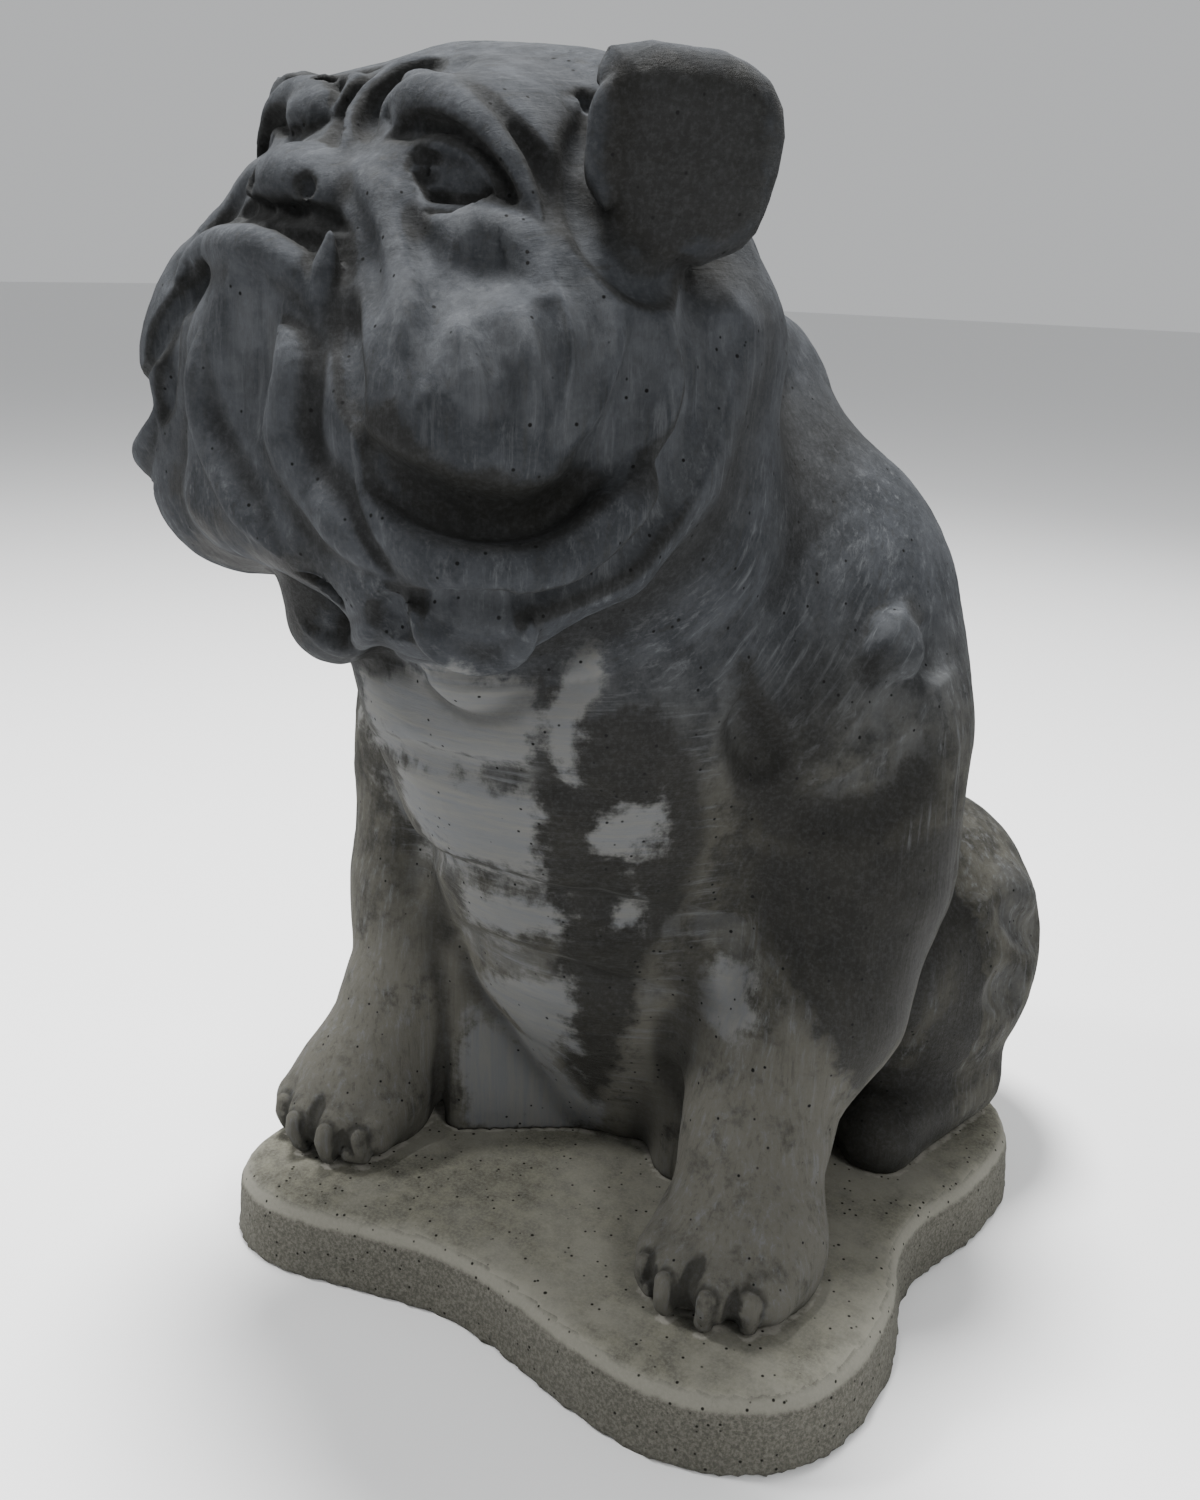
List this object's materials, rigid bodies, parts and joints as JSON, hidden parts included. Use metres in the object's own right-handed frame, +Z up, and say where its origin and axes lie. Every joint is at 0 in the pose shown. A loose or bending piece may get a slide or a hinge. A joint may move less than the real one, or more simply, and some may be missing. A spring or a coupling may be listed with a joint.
{
  "type": "garden statue",
  "caption": "Life-sized seated bulldog statue cast in concrete, with a wrinkled face and drop ears, bedded on a shaped flat slab.",
  "frame": {"origin": "on the ground, under the middle of the slab", "axes": "+Z up; the dog's chest faces -Y; the dog's left side is at +X; its head is turned a little towards its right"},
  "size_m": [0.6895, 0.8592, 1.0271],
  "materials": {
    "dog_concrete": "brushed and weathered cast concrete, blue-grey to near black when damp, with pale dry patches on the chest",
    "slab_concrete": "coarse pitted olive-grey cast concrete with a paler worn upper edge"
  },
  "bodies": {
    "root": {"bulldog": "dog_concrete", "base_slab": "slab_concrete"}
  },
  "joints": []
}
